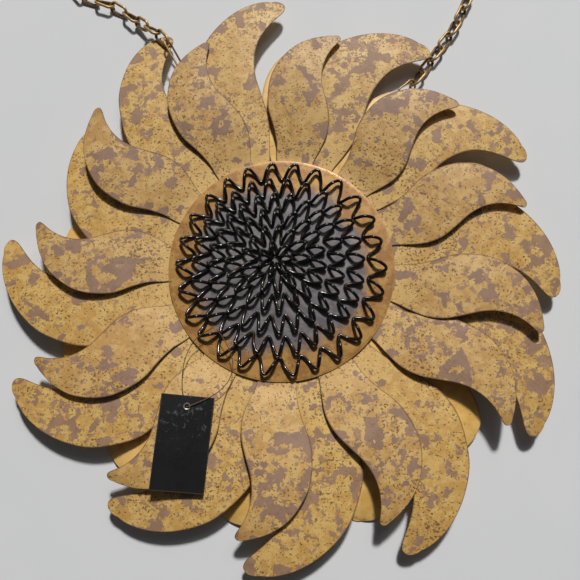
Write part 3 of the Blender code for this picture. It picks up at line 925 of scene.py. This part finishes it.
def card_surface(rings, spokes):
    """Rings of points over the card's middle surface, from its hole to its edge, with how far each point is
    from the hole and how far inside the edge."""
    width, length, _ = TAG_SIZE
    # The rings crowd together by the hole, and the last one is a narrow one for the painted edge highlight.
    crowding, last_share = 1.3, 0.985
    surface, from_hole, inside = [], [], []
    for ring in range(rings + 1):
        share = 1 if ring == rings else last_share * (ring / (rings - 1)) ** crowding
        for turn in card_turns(spokes):
            ray = Vector((math.cos(turn), math.sin(turn), 0))
            reach_x = (width / 2) / max(abs(ray.x), 1e-6)
            reach_y = (TAG_HOLE_INSET if ray.y > 0 else length - TAG_HOLE_INSET) / max(abs(ray.y), 1e-6)
            reach = min(reach_x, reach_y)
            flat = ray * (CARD_HOLE_RADIUS + (reach - CARD_HOLE_RADIUS) * share)
            bow = CARD_BOW * ((flat.x / (width / 2)) ** 2 - 0.3) * min(1, flat.length / BOW_START)
            surface.append(flat + Vector((0, 0, bow)))
            from_hole.append(min(1, flat.length / length))
            inside.append(min(1, (reach - flat.length) / EDGE_HIGHLIGHT_WIDTH))
    return surface, from_hole, inside


def make_card(place):
    """The blank card, bowed a little, with a punched hole."""
    rings, spokes = 12, 72
    surface, from_hole, inside = card_surface(rings, spokes)
    half = Vector((0, 0, TAG_SIZE[2] / 2))
    points = [p + half for p in surface] + [p - half for p in surface]
    below = len(surface)
    faces = []
    for ring in range(rings):
        for k in range(spokes):
            a, b = ring * spokes + k, ring * spokes + (k + 1) % spokes
            faces.append((a, b, b + spokes, a + spokes))
            faces.append((a + below, a + spokes + below, b + spokes + below, b + below))
    for k in range(spokes):
        a, b = k, (k + 1) % spokes
        faces.append((a, a + below, b + below, b))
        a, b = rings * spokes + a, rings * spokes + b
        faces.append((a, b, b + below, a + below))
    marks = {"from_hole": from_hole * 2, "inside": inside * 2}
    mesh = mesh_from("fine_hang_tag", [place @ p for p in points], faces, marks)
    card = new_piece("fine_hang_tag", mesh, black_card("black_card"))
    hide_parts("hang_tag")


def make_eyelet(place):
    """The metal eyelet in the card's hole."""
    outer, inner = EYELET_RADIUS, TAG_HOLE_RADIUS
    half = TAG_SIZE[2] / 2 + TOUCH_GAP / 3
    lip = half + 0.35 * MM
    barrel = outer - 0.9 * MM
    profile = [
        (inner, -lip + 0.15 * MM), (inner + 0.2 * MM, -lip), (outer - 0.15 * MM, -lip), (outer, -half),
        (barrel, -half), (barrel, half), (outer, half), (outer - 0.15 * MM, lip), (inner + 0.35 * MM, lip),
        (inner, lip - 0.2 * MM),
    ]
    points, faces = turned_shape(profile, 40, closed=True)
    mesh = mesh_from("fine_tag_eyelet", [place @ p for p in points], faces)
    eyelet = new_piece("fine_tag_eyelet", mesh, dull_metal("dull_metal"), sharp=50)
    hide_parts("tag_eyelet")
    return eyelet


def make_string(eyelet):
    """The thread that ties the tag to the wire."""
    route = measured(STRING_ROUTE)
    length = route[1][-1]
    steps = round(length / STRING_STEP)
    curve = bpy.data.curves.new("fine_tag_string", "CURVE")
    curve.dimensions = "3D"
    curve.bevel_depth = STRING_RADIUS
    curve.bevel_resolution = 2
    curve.use_fill_caps = True
    spline = curve.splines.new("POLY")
    spline.points.add(steps)
    for k, point in enumerate(spline.points):
        point.co = (*here(point_along(route, length * k / steps)), 1)
    curve.materials.append(thread_fibre("thread_fibre"))
    thread = bpy.data.objects.new("fine_tag_string", curve)
    bpy.context.scene.collection.objects.link(thread)
    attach(thread, "root")
    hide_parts("tag_string")


# ---------------------------------------------------------------- studio


def make_camera():
    """The camera above the flower's face."""
    back = Vector((
        math.sin(CAMERA_TURN) * math.sin(CAMERA_TILT),
        -math.cos(CAMERA_TURN) * math.sin(CAMERA_TILT),
        math.cos(CAMERA_TILT),
    ))
    right = Vector((0, 1, 0)).cross(back).normalized()
    up = back.cross(right)
    camera = bpy.data.objects.new("camera", bpy.data.cameras.new("camera"))
    bpy.context.scene.collection.objects.link(camera)
    camera.data.lens = LENS
    camera.data.sensor_width = 36
    camera.data.clip_start = 0.01
    place = Matrix((right, up, back)).transposed().to_4x4()
    camera.matrix_world = Matrix.Translation(here(LOOK_AT) + back * CAMERA_DISTANCE) @ place
    bpy.context.scene.camera = camera


def add_lamp(name, kind, place, strength, colour, size):
    """A lamp that faces the origin. A sun's size is its width in the sky in degrees."""
    lamp = bpy.data.lights.new(name, kind)
    lamp.energy = strength
    lamp.color = colour
    if kind == "SUN":
        lamp.angle = math.radians(size)
    else:
        lamp.shape = "DISK"
        lamp.size = size
    made = bpy.data.objects.new(name, lamp)
    bpy.context.scene.collection.objects.link(made)
    made.location = place
    made.rotation_euler = Vector(place).to_track_quat("Z", "Y").to_euler()


def make_studio():
    """A pale floor, a key light from the chain's side and soft light all round."""
    bpy.ops.mesh.primitive_plane_add(size=6)
    floor = bpy.context.object
    floor.name = "floor"
    floor.data.materials.append(plain_floor("studio_floor"))
    add_lamp("key", "SUN", (0.24, 1.30, 1.45), 3.0, (1.0, 0.985, 0.96), 6)
    add_lamp("soft_box", "AREA", (0.5, 1.2, 1.7), 5, (1.0, 0.99, 0.97), 1.0)
    world = bpy.data.worlds.new("studio")
    world.use_nodes = True
    world.node_tree.nodes["Background"].inputs["Color"].default_value = (0.95, 0.97, 1.0, 1)
    world.node_tree.nodes["Background"].inputs["Strength"].default_value = 0.05
    bpy.context.scene.world = world
    bpy.context.scene.view_settings.view_transform = "Standard"


make_camera()
tag = tag_place()
make_card(tag)
make_string(make_eyelet(tag))
make_petals()
make_disc()
make_wire_rings()
make_chain()
make_studio()
